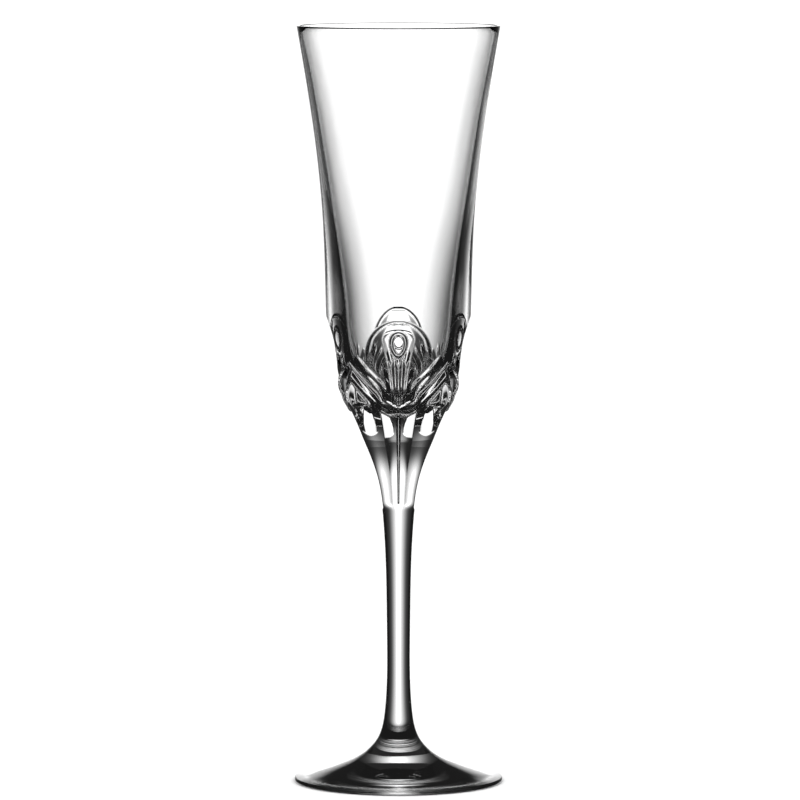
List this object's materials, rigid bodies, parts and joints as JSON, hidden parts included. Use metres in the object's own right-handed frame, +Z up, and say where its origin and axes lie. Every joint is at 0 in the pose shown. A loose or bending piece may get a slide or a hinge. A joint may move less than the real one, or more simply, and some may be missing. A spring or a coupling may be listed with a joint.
{
  "type": "champagne flute",
  "caption": "Tall clear crystal flute: flared bowl with a cut crown of arched medallions, fluted neck, slim round stem and wide shallow foot",
  "frame": {"origin": "centre of the circle that the foot stands on, on the glass's axis", "axes": "+Z up along the axis of the glass; the front medallion faces -Y, and the other three face +X, +Y and -X"},
  "size_m": [0.069, 0.069, 0.25],
  "materials": {
    "crystal": "clear colourless crystal, fire-polished rim, bright-polished cuts"
  },
  "bodies": {
    "root": {"bowl": "crystal", "stem": "crystal", "foot": "crystal"}
  },
  "joints": []
}
